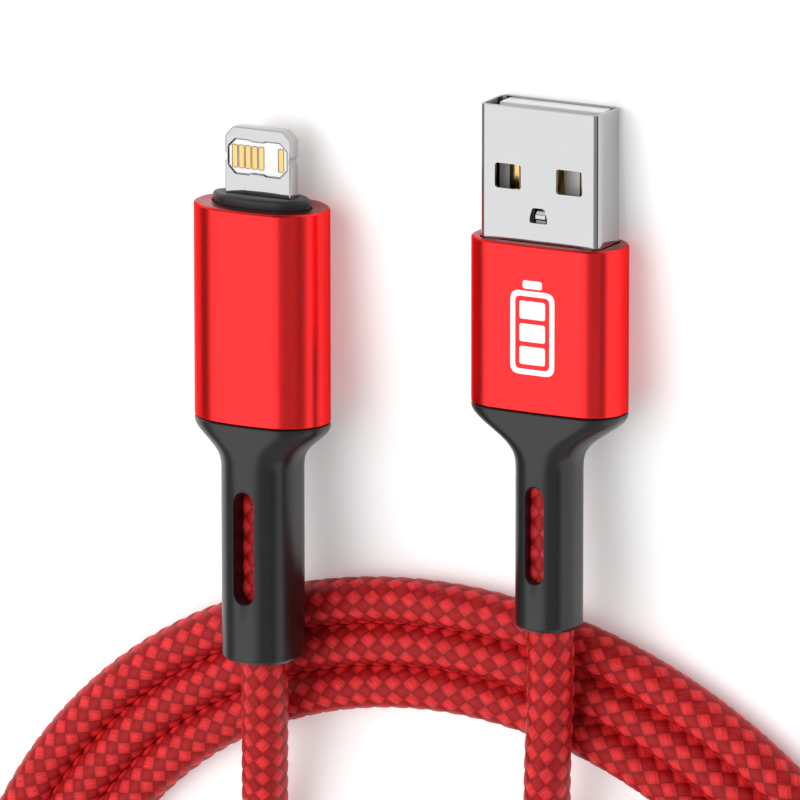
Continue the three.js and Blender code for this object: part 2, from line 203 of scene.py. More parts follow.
def straight_between(a, b, steps):
    """Points between two turns, easing from one lane to the next."""
    for i in range(1, steps):
        t = i / steps
        ease = t * t * (3 - 2 * t)
        yield (a[0] + (b[0] - a[0]) * t, a[1] + (b[1] - a[1]) * ease, FLOOR_Z)


def cord_route():
    points = [tuple(p) for p in boot_points(SLIM_AT, SLIM)] + SLIM_ROUTE
    turns = [coil_turn(lane) for lane in range(LANES)]
    for lane, turn in enumerate(turns):
        points += turn
        if lane + 1 < LANES:
            points += straight_between(turn[-1], turns[lane + 1][0], FAR_POINTS)
    points += reversed(TYPE_A_ROUTE)
    points += [tuple(p) for p in reversed(boot_points(TYPE_A_AT, TYPE_A))]
    return np.array(points)


def smooth_curve(points, step):
    """A smooth curve through the points, sampled every step millimetres, as cubic Hermite pieces."""
    spans = np.linalg.norm(np.diff(points, axis=0), axis=1)
    knots = np.concatenate([[0], np.cumsum(spans)])
    slopes = np.diff(points, axis=0) / spans[:, None]
    weights = spans[1:, None] / (spans[:-1, None] + spans[1:, None])
    tangents = np.vstack([slopes[:1], slopes[:-1] * weights + slopes[1:] * (1 - weights), slopes[-1:]])
    at = np.linspace(0, knots[-1], int(knots[-1] / step) + 1)
    piece = np.clip(np.searchsorted(knots, at, side="right") - 1, 0, len(spans) - 1)
    span = spans[piece][:, None]
    t = ((at - knots[piece]) / spans[piece])[:, None]
    return (
        (2 * t**3 - 3 * t**2 + 1) * points[piece] + (t**3 - 2 * t**2 + t) * span * tangents[piece]
        + (3 * t**2 - 2 * t**3) * points[piece + 1] + (t**3 - t**2) * span * tangents[piece + 1]
    )


def relaxed(curve, passes):
    """The curve with its small bends evened out, as a springy cord evens them, its ends kept."""
    for _ in range(passes):
        curve[2:-2] = 0.5 * curve[2:-2] + 0.25 * (curve[1:-3] + curve[3:-1])
    return curve


def evenly(curve, count):
    """The curve sampled at count points an even distance apart."""
    run = np.concatenate([[0], np.cumsum(np.linalg.norm(np.diff(curve, axis=0), axis=1))])
    at = np.linspace(0, run[-1], count)
    return np.stack([np.interp(at, run, curve[:, axis]) for axis in range(3)], axis=1)


def curve_length(curve):
    return float(np.linalg.norm(np.diff(curve, axis=0), axis=1).sum())


def carried_frames(curve):
    """Two unit vectors square to the curve at each point, carried along it without twist."""
    tangents = np.gradient(curve, axis=0)
    tangents /= np.linalg.norm(tangents, axis=1)[:, None]
    side = np.cross(tangents[0], [0, 0, 1])
    sides = []
    for tangent in tangents:
        side = side - tangent * side.dot(tangent)
        side /= np.linalg.norm(side)
        sides.append(side)
    sides = np.array(sides)
    return sides, np.cross(tangents, sides)


# ---- mesh helpers --------------------------------------------------------------------------------


def finish_piece(name, mesh, materials, replaced=(), smooth_angle=35):
    """Link a mesh in metres as a piece of the cable that rides on its one body."""
    piece = bpy.data.objects.new(f"{name}_visual", mesh)
    bpy.context.scene.collection.objects.link(piece)
    for material in materials:
        mesh.materials.append(material)
    mesh.shade_smooth()
    mesh.set_sharp_from_angle(angle=math.radians(smooth_angle))
    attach(piece, BODY)
    if replaced:
        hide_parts(*replaced)
    return piece


def placed(bm, at):
    """A mesh from a bmesh in a plug's frame, moved to the plug's place."""
    bmesh.ops.recalc_face_normals(bm, faces=bm.faces)
    bmesh.ops.transform(bm, matrix=at, verts=bm.verts)
    mesh = bpy.data.meshes.new("mesh")
    bm.to_mesh(mesh)
    bm.free()
    return mesh


def rounded_ring(width, thickness, corner, crown):
    """Points round a section, anticlockwise, the same number for any section."""
    corner = min(corner, width / 2 - 1e-4, thickness / 2 - 1e-4)
    cx, cz = width / 2 - corner, thickness / 2 - corner
    ring = []
    for quarter, (sx, sz) in enumerate(((1, 1), (-1, 1), (-1, -1), (1, -1))):
        for i in range(CORNER_STEPS + 1):
            angle = (quarter + i / CORNER_STEPS) * math.pi / 2
            ring.append((sx * cx + corner * math.cos(angle), sz * cz + corner * math.sin(angle)))
        if quarter % 2 == 0:
            ring += [
                (sx * cx * (1 - 2 * i / FACE_STEPS), sz * thickness / 2) for i in range(1, FACE_STEPS)
            ]
    return [(x, z * (1 - crown * (2 * x / width) ** 2)) for x, z in ring]


def inset(section, amount):
    width, thickness, corner, crown = section
    return (width - 2 * amount, thickness - 2 * amount, max(corner - amount, 0.05), crown)


def corner_curve(a, corner, b, steps):
    """Points from a to b along a curve that bends at the corner."""
    for step in range(steps + 1):
        t = step / steps
        yield (1 - t) ** 2 * a + 2 * t * (1 - t) * corner + t**2 * b


def softened(profile, radius):
    """A closed profile of (y, *section) points with each corner rounded off."""
    points = [np.array(p, dtype=float) for p in profile]
    result = []
    for i, point in enumerate(points):
        before, after = points[i - 1], points[(i + 1) % len(points)]
        reach_back = min(radius / max(np.linalg.norm(before - point), 1e-9), 0.4)
        reach_on = min(radius / max(np.linalg.norm(after - point), 1e-9), 0.4)
        a = point + (before - point) * reach_back
        b = point + (after - point) * reach_on
        result += corner_curve(a, point, b, ROUND_STEPS)
    return result


def closed_skin(rings):
    """A closed skin through rings of points, joined round from the last ring to the first."""
    bm = bmesh.new()
    loops = [[bm.verts.new(point) for point in ring] for ring in rings]
    count = len(loops[0])
    for loop, following in zip(loops, loops[1:] + loops[:1]):
        for i in range(count):
            j = (i + 1) % count
            bm.faces.new((loop[i], loop[j], following[j], following[i]))
    return bm


def ring_skin(profile):
    """A closed skin through sections (y, *section) along a plug."""
    return closed_skin([[(x, y, z) for x, z in rounded_ring(*section)] for y, *section in profile])


def band(outer, inner, low, high):
    """A flat closed band between two outlines that have the same number of points."""
    levels = ((outer, low), (outer, high), (inner, high), (inner, low))
    return closed_skin([[(x, y, z) for x, y in outline] for outline, z in levels])


def rounded_outline(corners, radius, steps=6):
    """A closed outline through the corners, with each corner rounded by an arc-like curve."""
    points = [Vector(c) for c in corners]
    outline = []
    for i, point in enumerate(points):
        before, after = points[i - 1], points[(i + 1) % len(points)]
        a = point + (before - point).normalized() * radius
        b = point + (after - point).normalized() * radius
        outline += corner_curve(a, point, b, steps)
    return [(p.x, p.y) for p in outline]


def rectangle(width, height, x, y):
    w, h = width / 2, height / 2
    return [(x + w, y - h), (x + w, y + h), (x - w, y + h), (x - w, y - h)]


def capsule(width, low, high, grow, steps=12):
    """The outline of a slot from y = low to y = high with round ends, grown by a margin."""
    r = width / 2
    outline = []
    for centre, start in ((high - r, 0), (low + r, 180)):
        for i in range(steps + 1):
            angle = math.radians(start + 180 * i / steps)
            outline.append(((r + grow) * math.cos(angle), centre + (r + grow) * math.sin(angle)))
    return outline


def stack(levels):
    """A closed solid through levels of (outline, z), or of whole points with z None."""
    bm = bmesh.new()
    rings = [[bm.verts.new(p if z is None else (*p, z)) for p in outline] for outline, z in levels]
    count = len(rings[0])
    for ring, above in zip(rings, rings[1:]):
        for i in range(count):
            j = (i + 1) % count
            bm.faces.new((ring[i], ring[j], above[j], above[i]))
    bm.faces.new(list(reversed(rings[0])))
    bm.faces.new(rings[-1])
    return bm


def shrunk(outline, amount):
    """The outline drawn in by an amount, square to its own edges."""
    points = [Vector(p) for p in outline]
    result = []
    for i, point in enumerate(points):
        before, after = points[i - 1], points[(i + 1) % len(points)]
        along = after - before
        if along.length < 1e-9:
            result.append(tuple(point))
            continue
        inward = Vector((-along.y, along.x)).normalized()
        result.append(tuple(point + inward * amount))
    return result


def slab(outline, low, high, edge):
    """A flat solid with softly broken edges on both faces."""
    inner = shrunk(outline, edge)
    bend = edge * 0.3
    half = shrunk(outline, bend)
    return stack([
        (inner, low), (half, low + bend), (outline, low + edge),
        (outline, high - edge), (half, high - bend), (inner, high),
    ])


def carved(bm, cutters):
    """The bmesh with cutter bmeshes taken away from it."""
    def scratch(source):
        bmesh.ops.recalc_face_normals(source, faces=source.faces)
        mesh = bpy.data.meshes.new("scratch")
        source.to_mesh(mesh)
        source.free()
        made = bpy.data.objects.new("scratch", mesh)
        bpy.context.scene.collection.objects.link(made)
        return made

    body = scratch(bm)
    tools = [scratch(cutter) for cutter in cutters]
    for tool in tools:
        cut = body.modifiers.new("cut", "BOOLEAN")
        cut.operation = "DIFFERENCE"
        cut.solver = "EXACT"
        cut.object = tool
    result = bmesh.new()
    result.from_mesh(body.evaluated_get(bpy.context.evaluated_depsgraph_get()).to_mesh())
    for made in [body] + tools:
        mesh = made.data
        bpy.data.objects.remove(made)
        bpy.data.meshes.remove(mesh)
    return result


def joined(*parts):
    """One bmesh that holds several."""
    whole = parts[0]
    for part in parts[1:]:
        mesh = bpy.data.meshes.new("scratch")
        part.to_mesh(mesh)
        part.free()
        whole.from_mesh(mesh)
        bpy.data.meshes.remove(mesh)
    return whole


# ---- materials -----------------------------------------------------------------------------------


def node_material(name):
    material = bpy.data.materials.new(name)
    material.use_nodes = True
    nodes = material.node_tree.nodes
    return material, nodes, material.node_tree.links, nodes["Principled BSDF"]


def stretched_position(nodes, links, scale):
    """Object coordinates scaled along each axis, so that a pattern can run with the grain."""
    where = nodes.new("ShaderNodeTexCoord")
    mapping = nodes.new("ShaderNodeMapping")
    mapping.inputs["Scale"].default_value = scale
    links.new(where.outputs["Object"], mapping.inputs["Vector"])
    return mapping.outputs["Vector"]


def noise(nodes, links, vector, scale, detail, roughness=0.5):
    texture = nodes.new("ShaderNodeTexNoise")
    texture.inputs["Scale"].default_value = scale
    texture.inputs["Detail"].default_value = detail
    texture.inputs["Roughness"].default_value = roughness
    links.new(vector, texture.inputs["Vector"])
    return texture.outputs["Fac"]


def ranged(nodes, links, value, low, high):
    """The value, about 0.3 to 0.7 as noise is, spread from low to high."""
    spread = nodes.new("ShaderNodeMapRange")
    spread.inputs["From Min"].default_value = 0.3
    spread.inputs["From Max"].default_value = 0.7
    spread.inputs["To Min"].default_value = low
    spread.inputs["To Max"].default_value = high
    links.new(value, spread.inputs["Value"])
    return spread.outputs["Result"]


def blended(nodes, links, factor, first, second):
    mix = nodes.new("ShaderNodeMix")
    mix.data_type = "RGBA"
    mix.inputs["A"].default_value = (*first, 1)
    mix.inputs["B"].default_value = (*second, 1)
    links.new(factor, mix.inputs["Factor"])
    return mix.outputs["Result"]


def add_bump(nodes, links, shader, height, distance, strength=1.0):
    bump = nodes.new("ShaderNodeBump")
    bump.inputs["Distance"].default_value = distance
    bump.inputs["Strength"].default_value = strength
    links.new(height, bump.inputs["Height"])
    links.new(bump.outputs["Normal"], shader.inputs["Normal"])


def surface(name, first, second, rough, metallic=0.0, grain=3000.0, stretch=(1, 1, 1), bump=0.0,
            edge_tint=(1, 1, 1)):
    """A material whose colour and roughness drift between two values with a fine grain."""
    material, nodes, links, shader = node_material(name)
    position = stretched_position(nodes, links, stretch)
    drift = noise(nodes, links, position, grain * 0.12, 4)
    fine = noise(nodes, links, position, grain, 3, 0.6)
    shader.inputs["Metallic"].default_value = metallic
    shader.inputs["Specular Tint"].default_value = (*edge_tint, 1)
    factor = ranged(nodes, links, drift, 0, 1)
    links.new(blended(nodes, links, factor, first, second), shader.inputs["Base Color"])
    links.new(ranged(nodes, links, fine, rough[0], rough[1]), shader.inputs["Roughness"])
    if bump:
        add_bump(nodes, links, shader, fine, bump)
    return material


def math_node(nodes, links, operation, first, second=None):
    """One arithmetic node, whose inputs are sockets or plain numbers."""
    node = nodes.new("ShaderNodeMath")
    node.operation = operation
    for place, value in enumerate((first, second)):
        if isinstance(value, (int, float)):
            node.inputs[place].default_value = value
        elif value is not None:
            links.new(value, node.inputs[place])
    return node.outputs["Value"]


STRAND_SCALE = (5.5, 0.5, 1.0)           # noise squeezed across a yarn, so that it runs along it
STRAND_TONE = (0.3, 1.35)                # how far from the first colour to the second strands vary
DRIFT_TONE = (0.8, 1.15)                 # and what the cord's slow drift multiplies that by


def braid_material(name, first, second):
    """Nylon yarn: strands that run with the yarn, with painted shade where it dips under the next one
    and a painted highlight on its crown.
    """
    material, nodes, links, shader = node_material(name)
    uv = nodes.new("ShaderNodeUVMap")
    uv.uv_map = "yarn"
    mapping = nodes.new("ShaderNodeMapping")
    mapping.inputs["Scale"].default_value = STRAND_SCALE
    links.new(uv.outputs["UV"], mapping.inputs["Vector"])
    strands = noise(nodes, links, mapping.outputs["Vector"], 1.6, 3, 0.6)
    drift = noise(nodes, links, stretched_position(nodes, links, (1, 1, 1)), 420.0, 3)
    axes = nodes.new("ShaderNodeSeparateXYZ")
    links.new(uv.outputs["UV"], axes.inputs["Vector"])
    arches = []
    for axis in ("X", "Y"):
        place = math_node(nodes, links, "FRACT", axes.outputs[axis])
        half_turn = math_node(nodes, links, "MULTIPLY", place, math.pi)
        arches.append(math_node(nodes, links, "SINE", half_turn))
    # Painted shade and highlight: the colour runs from the first, at a yarn's edges in the valleys, to
    # the second at its crown.
    crown = math_node(nodes, links, "POWER", math_node(nodes, links, "MULTIPLY", *arches), YARN_ARCH)
    strand_tone = ranged(nodes, links, strands, *STRAND_TONE)
    drift_tone = ranged(nodes, links, drift, *DRIFT_TONE)
    tone = math_node(nodes, links, "MULTIPLY", strand_tone, drift_tone)
    tone = math_node(nodes, links, "MULTIPLY", tone, crown)
    links.new(blended(nodes, links, tone, first, second), shader.inputs["Base Color"])
    links.new(ranged(nodes, links, strands, 0.36, 0.56), shader.inputs["Roughness"])
    shader.inputs["Specular IOR Level"].default_value = 0.22
    add_bump(nodes, links, shader, strands, 0.00006, 0.8)
    return material


# Two copies of one red yarn, as painted sheen: the lit copy for yarns running one way round, the
# shaded copy for the other way.
BRAID_PAINTED_LIT = braid_material("braid_painted_lit", (0.34, 0.007, 0.009), (0.84, 0.034, 0.038))
BRAID_PAINTED_SHADE = braid_material("braid_painted_shade", (0.19, 0.002, 0.003), (0.42, 0.008, 0.01))
SLEEVE_RED = surface(
    "anodised_red", (0.88, 0.029, 0.031), (0.9, 0.031, 0.033), (0.26, 0.29), metallic=1.0, grain=2600,
    stretch=(3, 0.06, 3), bump=5e-8, edge_tint=(0.75, 0.42, 0.42))
# A darker copy of the sleeve's red for its end walls: painted shade, where less light falls on them.
SLEEVE_END_SHADE = surface(
    "red_end_painted_shade", (0.3, 0.014, 0.016), (0.36, 0.018, 0.02), (0.3, 0.36), metallic=1.0, grain=2600)
STEEL = surface(
    "nickel_steel", (0.415, 0.415, 0.42), (0.425, 0.425, 0.43), (0.06, 0.09), metallic=1.0,
    grain=2500, stretch=(1, 6, 1), bump=2e-7)
GOLD = surface(
    "gold_plate", (0.6, 0.41, 0.16), (0.66, 0.46, 0.19), (0.16, 0.26), metallic=1.0,
    stretch=(4, 1, 1), bump=6e-7)
RUBBER = surface(
    "boot_rubber", (0.004, 0.004, 0.0044), (0.006, 0.006, 0.0065), (0.27, 0.33), grain=7000,
    bump=2e-6)
WHITE = surface(
    "white_plastic", (0.82, 0.82, 0.81), (0.86, 0.86, 0.85), (0.32, 0.42), grain=4000, bump=2e-6)
BLACK = surface(
    "black_plastic", (0.012, 0.012, 0.013), (0.02, 0.02, 0.022), (0.35, 0.45), grain=5000, bump=2e-6)
INNER = surface("inner_moulding", (0.6, 0.58, 0.5), (0.68, 0.66, 0.58), (0.5, 0.62), bump=3e-6)
BOARD = surface(
    "solder_mask", (0.01, 0.12, 0.03), (0.02, 0.2, 0.06), (0.25, 0.4), grain=3500, bump=2e-6)
PRINT = surface(
    "white_print", (0.86, 0.86, 0.86), (0.92, 0.92, 0.92), (0.4, 0.5), grain=6000, bump=1e-6)
WIRES = [
    surface(name, first, second, (0.3, 0.4), bump=2e-6)
    for name, first, second in (
        ("wire_red", (0.5, 0.02, 0.02), (0.6, 0.03, 0.03)),
        ("wire_white", (0.75, 0.75, 0.72), (0.85, 0.85, 0.82)),
        ("wire_green", (0.02, 0.25, 0.06), (0.03, 0.33, 0.08)),
        ("wire_black", (0.012, 0.012, 0.012), (0.02, 0.02, 0.02)),
    )
]

# ---- the braided cord ----------------------------------------------------------------------------


def lattice_vertex(row, around, per_row):
    """The index of a lattice vertex, from its row and its place round in half steps."""
    return row * per_row + (around % (2 * per_row) - row % 2) // 2


def braid_faces(rows, per_row):
    """Diamond faces of a tube whose rows are offset by half a step, and each one's yarn numbers."""
    row = np.repeat(np.arange(1, rows), per_row)
    around = 2 * np.tile(np.arange(per_row), rows - 1) + row % 2
    quads = np.stack([
        lattice_vertex(row, around, per_row), lattice_vertex(row - 1, around + 1, per_row),
        lattice_vertex(row, around + 2, per_row), lattice_vertex(row + 1, around + 1, per_row),
    ], axis=1)
    return quads, (around - row) // 2, (around + row) // 2


def end_faces(row, other, centre, per_row):
    """Triangles that close the tube's zigzag end round a centre vertex."""
    steps = range(2 * per_row)
    rim = [lattice_vertex(row if (s - row) % 2 == 0 else other, s, per_row) for s in steps]
    return [(centre, rim[k], rim[(k + 1) % len(rim)]) for k in steps]


def braided_cord():
    """A tube of crossing yarns: each diamond of the lattice is the top of one yarn, going over."""
    route = relaxed(smooth_curve(cord_route(), ROUTE_STEP), ROUTE_PASSES)
    per_row = YARNS * CELL_STEPS
    rows = int(curve_length(route) / (BRAID_PITCH / (2 * per_row)))
    curve = evenly(route, rows + 1)
    sides, ups = carried_frames(curve)

    row = np.repeat(np.arange(rows + 1), per_row)
    around = 2 * np.tile(np.arange(per_row), rows + 1) + row % 2
    waves = [np.sin(np.pi * (k // 2 % CELL_STEPS) / CELL_STEPS) for k in (around - row, around + row)]
    radius = (CORD / 2 - BRAID_RELIEF + BRAID_RELIEF * (waves[0] * waves[1]) ** YARN_ARCH)[:, None]
    angle = (np.pi * around / per_row)[:, None]
    points = curve[row] + radius * (np.cos(angle) * sides[row] + np.sin(angle) * ups[row])
    points = np.vstack([points, curve[:1], curve[-1:]]) * MM

    quads, first, second = braid_faces(rows, per_row)
    # Which yarn is on top also picks its copy of the red, as painted sheen: the lit one for one
    # direction, the shaded one for the other.
    over = (first // CELL_STEPS + second // CELL_STEPS) % 2
    caps = end_faces(0, 1, len(points) - 2, per_row)
    caps += [face[::-1] for face in end_faces(rows, rows - 1, len(points) - 1, per_row)]

    mesh = bpy.data.meshes.new("braided_cord")
    mesh.from_pydata(points.tolist(), [], quads.tolist() + caps)
    looks = np.concatenate([over, np.zeros(len(caps))]).astype(np.int32)
    mesh.polygons.foreach_set("material_index", looks)

    # The braid's own coordinates, in yarn widths: u across the yarn on top and v along it.
    corners_first = first[:, None] + np.array([0, 1, 1, 0])
    corners_second = second[:, None] + np.array([0, 0, 1, 1])
    swap = over[:, None].astype(bool)
    u = np.where(swap, corners_second, corners_first) / CELL_STEPS
    v = np.where(swap, corners_first, corners_second) / CELL_STEPS
    yarn = np.zeros((len(quads) * 4 + len(caps) * 3, 2), dtype=np.float32)
    yarn[: u.size] = np.stack([u.ravel(), v.ravel()], axis=1)
    mesh.uv_layers.new(name="yarn").data.foreach_set("uv", yarn.ravel())

    cord = finish_piece(
        "braided_cord", mesh, [BRAID_PAINTED_LIT, BRAID_PAINTED_SHADE],
        ["cord_coil", "cord_tail_type_a", "cord_tail_slim"])


# ---- pieces that both plugs have -----------------------------------------------------------------

SLEEVE_RIM = 0.16            # chamfer round a sleeve's front
SLEEVE_BACK = 0.12           # chamfer round a sleeve's back
SLEEVE_GAP = 0.14            # between a sleeve's opening and the piece that comes out of it
END_FACE = 0.8               # the cosine to the plug's axis from which a face is an end face, which takes the red with painted shade
FLARE_START = 1.8            # how slowly the flare leaves the sleeve's section
FLARE_END = 4.5              # how softly it runs out into the neck's
BORE = (CORD + 0.24, CORD + 0.24, CORD / 2 + 0.12, 0.0)  # the boot's section round the cord
POCKET = (5.8, 5.8, 2.9, 0.0)            # its wider hollow behind the sleeve
POCKET_DEPTH = 4.2
SHOULDER_EDGE = 0.1          # chamfer round a boot's shoulder, against the sleeve
BOOT_LIP = 0.3               # chamfer round a boot's end
BORE_LIP = 0.12              # chamfer round the bore there
SLOT_FLOOR = 0.6             # how near the cord's middle the slot's cutters reach
# The rounded edge of a slot: heights from the neck's face, and how far the slot is wider there.
SLOT_EDGE = ((-0.22, 0.0), (-0.1, 0.03), (-0.02, 0.12), (0.1, 0.3), (2.0, 0.3))


def add_sleeve(name, plug, at, opening):
    """An aluminium tube with chamfered rims and an end wall round the piece that comes out of it."""
    section = plug["sleeve"]
    wall, back = plug["sleeve_wall"], -plug["sleeve_length"]
    hollow = (*inset(section, wall)[:3], 0.0)
    hole = inset(opening, -SLEEVE_GAP)
    profile = [
        (back, *inset(section, SLEEVE_BACK)), (back + SLEEVE_BACK, *section),
        (-SLEEVE_RIM, *section), (0, *inset(section, SLEEVE_RIM)),
        (0, *hole), (-wall, *hole), (-wall, *hollow), (back, *hollow),
    ]
    mesh = placed(ring_skin(softened(profile, 0.05)), at)
    finish_piece(name, mesh, [SLEEVE_RED, SLEEVE_END_SHADE], [name])
    # End faces take the darker red, which is painted shade.
    for face in mesh.polygons:
        if face.normal.dot(ALONG) > END_FACE:
            face.material_index = 1


def flare_profile(plug, front, steps=22):
    """Rings down the boot's flare, easing from the sleeve's section in to the neck's."""
    for i in range(steps + 1):
        fraction = i / steps
        ease = 1 - (1 - fraction**FLARE_START) ** FLARE_END
        section = [a + (b - a) * ease for a, b in zip(plug["sleeve"], plug["neck"])]
        yield (front - plug["skirt"] - fraction * plug["flare"], *section)


def add_boot(name, plug, at):
    """A moulded boot, bored for the cord, with a long slot in each broad face."""
    front = -plug["sleeve_length"] - FIT
    back = -plug["sleeve_length"] - plug["boot_length"]
    pocket_back = front - POCKET_DEPTH
    neck = plug["neck"]
    # The first and last points of both profiles only give their neighbours' corners a direction.
    shoulder = softened([
        (front - 2, *BORE), (pocket_back, *POCKET), (front, *POCKET),
        (front, *inset(plug["sleeve"], SHOULDER_EDGE)), (front - SHOULDER_EDGE, *plug["sleeve"]),
        (front - plug["skirt"], *plug["sleeve"]),
    ], 0.06)[ROUND_STEPS + 1:-ROUND_STEPS - 1]
    tail = softened([
        (front - 8, *neck), (back + BOOT_LIP, *neck), (back, *inset(neck, BOOT_LIP)),
        (back, *inset(BORE, -BORE_LIP)), (back + BORE_LIP, *BORE), (front - 8, *BORE),
    ], 0.12)[ROUND_STEPS + 1:-ROUND_STEPS - 1]
    rings = shoulder + list(flare_profile(plug, front)) + tail + [(pocket_back - 0.5, *BORE)]

    low = back + plug["slot_from_end"]
    high = low + plug["slot_length"]
    levels = [(SLOT_FLOOR, 0.0)] + [(neck[1] / 2 + height, grow) for height, grow in SLOT_EDGE]
    cutters = [
        stack([(capsule(plug["slot_width"], low, high, grow), side * z) for z, grow in levels])
        for side in (1, -1)
    ]
    mesh = placed(carved(ring_skin(rings), cutters), at)
    finish_piece(name, mesh, [RUBBER], [name])


# ---- the wide plug -------------------------------------------------------------------------------

TONGUE_GAP = 0.5             # each side of the tongue, more than a fit
CONTACT_SETBACK = 1.2        # from the tongue's front to the longest contact's end
CONTACT_HEIGHTS = (0.02, 0.22)           # of a contact's underside and top, over the tongue
SEAM_WIDTH = 0.09            # of the folded shield's seam, down its back face
SEAM_DEPTH = 0.14
# The seam's path from the shield's sleeve end towards its tip, with a dovetail's step in it.
SEAM_STEPS = ((0.05, 2.4), (0.75, 3.1), (0.75, 4.6), (0.05, 5.3))
# The spring tab's profile: y from the hole's middle, and z from the shield's inner face.
SPRING_TOP = ((-0.52, -0.25), (-0.36, -0.08), (0.0, -0.08), (0.3, -0.5))
SPRING_UNDERSIDE = ((0.25, -0.65), (-0.1, -0.25), (-0.36, -0.25), (-0.52, -0.45))
SPRING_ROOT = 0.3            # how far the tab's root lies past the hole's end
SPRING_THICKNESS = 0.2
SPRING_HALF_WIDTH = 0.4      # as a share of the hole's narrow end
MARK_THICKNESS = 0.035       # of the printed sign
MARK_SUNK = 0.01             # how far it reaches into the sleeve, so that no gap shows under it
MARK_SETBACK = 0.3           # how far it lies behind the sleeve's middle


def shield_cutters(plug):
    """What is cut from the shield: two windows in each broad face, the tab's hole and the seam."""
    tip, tail, face = plug["exposed"], -plug["hidden"], plug["shield"][1] / 2
    window_y = tip - plug["window_from_tip"]
    cutters = []
    for side in (-1, 1):
        window = rectangle(*plug["window"], side * plug["window_spread"], window_y)
        outline = rounded_outline(window, 0.3)
        cutters.append(stack([(outline, -2 * face), (outline, 2 * face)]))
    wide, narrow, tall = plug["tab_hole"]
    tab_y = tip - plug["tab_from_tip"]
    hole = rounded_outline([
        (wide / 2, tab_y - tall / 2), (wide / 2, tab_y - tall / 6), (narrow / 2, tab_y + tall / 2),
        (-narrow / 2, tab_y + tall / 2), (-wide / 2, tab_y - tall / 6), (-wide / 2, tab_y - tall / 2),
    ], 0.22)
    cutters.append(stack([(hole, face - 1), (hole, face + 1)]))
    seam = [(SEAM_STEPS[0][0], tail - 1), *SEAM_STEPS, (SEAM_STEPS[-1][0], tip + 1)]
    groove = seam + [(x - SEAM_WIDTH, y) for x, y in reversed(seam)]
    cutters.append(stack([(groove, -face - 1), (groove, -face + SEAM_DEPTH)]))
    return cutters


def spring_tab(plug):
    """The sprung tongue of sheet steel that shows in the shield's hole."""
    _, narrow, tall = plug["tab_hole"]
    tab_y = plug["exposed"] - plug["tab_from_tip"]
    inside = plug["shield"][1] / 2 - plug["shield_wall"]
    root_y = tab_y - tall / 2 - SPRING_ROOT
    bends = [(tab_y + y, inside + z) for y, z in SPRING_TOP + SPRING_UNDERSIDE]
    outline = rounded_outline(
        [(root_y, inside), *bends, (root_y, inside - SPRING_THICKNESS)], 0.04, 3)
    return stack([
        ([(narrow * SPRING_HALF_WIDTH * side, y, z) for y, z in outline], None) for side in (-1, 1)
    ])


def add_type_a():
    plug, at = TYPE_A, TYPE_A_AT
    width, thickness = plug["shield"][:2]
    wall, tip, tail = plug["shield_wall"], plug["exposed"], -plug["hidden"]

    inner = inset(plug["shield"], wall)
    skin = ring_skin(softened([
        (tail, *plug["shield"]), (tip, *plug["shield"]), (tip, *inner), (tail, *inner),
    ], 0.09))
    shield = joined(carved(skin, shield_cutters(plug)), spring_tab(plug))
    finish_piece(
        "type_a_shield", placed(shield, at), [STEEL], ["type_a_shield"], smooth_angle=30)

    floor = -thickness / 2 + wall + FIT
    top = floor + plug["tongue_thickness"]
    front = tip - plug["tongue_from_tip"]
    tongue_width = width - 2 * wall - 2 * FIT - 2 * TONGUE_GAP
    outline = rectangle(tongue_width, front - tail, 0, (front + tail) / 2)
    tongue = slab(rounded_outline(outline, 0.3), floor, top, 0.12)
    finish_piece("type_a_tongue", placed(tongue, at), [WHITE], ["type_a_tongue"])

    for i, (x, length) in enumerate(zip(plug["contact_places"], plug["contact_lengths"])):
        end = front - CONTACT_SETBACK - (plug["contact_lengths"][0] - length)
        outline = rectangle(plug["contact_width"], end - tail, x, (end + tail) / 2)
        low, high = (top + height for height in CONTACT_HEIGHTS)
        strip = slab(rounded_outline(outline, 0.3), low, high, 0.06)
        name = f"type_a_contact_{i + 1}"
        finish_piece(name, placed(strip, at), [GOLD], [name])

    add_sleeve("type_a_sleeve", plug, at, plug["shield"])
    add_boot("type_a_boot", plug, at)
    add_battery_mark(plug, at)


def add_battery_mark(plug, at):
    """A printed battery sign on the wide plug's front face: an outline, a cap and three bars."""
    sleeve_width, sleeve_thickness, _, crown = plug["sleeve"]
    low = sleeve_thickness / 2 - MARK_SUNK
    high = low + MARK_THICKNESS
    middle = -plug["sleeve_length"] / 2 - MARK_SETBACK
    width, height, line = 4.4, 7.6, 0.5
    cap_width, cap_height, cap_gap = width * 0.44, 0.75, 0.2
    bars, bar_gap = 3, 0.42

    case = rounded_outline(rectangle(width, height, 0, middle), 0.9)
    hollow = rounded_outline(rectangle(width - 2 * line, height - 2 * line, 0, middle), 0.5)
    parts = [band(case, hollow, low, high)]
    cap_y = middle + height / 2 + cap_gap + cap_height / 2
    tiles = [rectangle(cap_width, cap_height, 0, cap_y)]
    room = height - 2 * line - 2 * bar_gap
    bar_width = width - 2 * line - 2 * bar_gap
    bar_height = (room - (bars - 1) * bar_gap) / bars
    for k in range(bars):
        bar_y = middle - room / 2 + bar_height / 2 + k * (bar_height + bar_gap)
        tiles.append(rectangle(bar_width, bar_height, 0, bar_y))
    parts += [slab(rounded_outline(tile, 0.25), low, high, 0.01) for tile in tiles]

    mark = joined(*parts)
    for vertex in mark.verts:        # laid on the sleeve's convex face
        vertex.co.z -= crown * sleeve_thickness / 2 * (2 * vertex.co.x / sleeve_width) ** 2
    finish_piece("type_a_battery_mark", placed(mark, at), [PRINT])


# ---- the slim plug -------------------------------------------------------------------------------

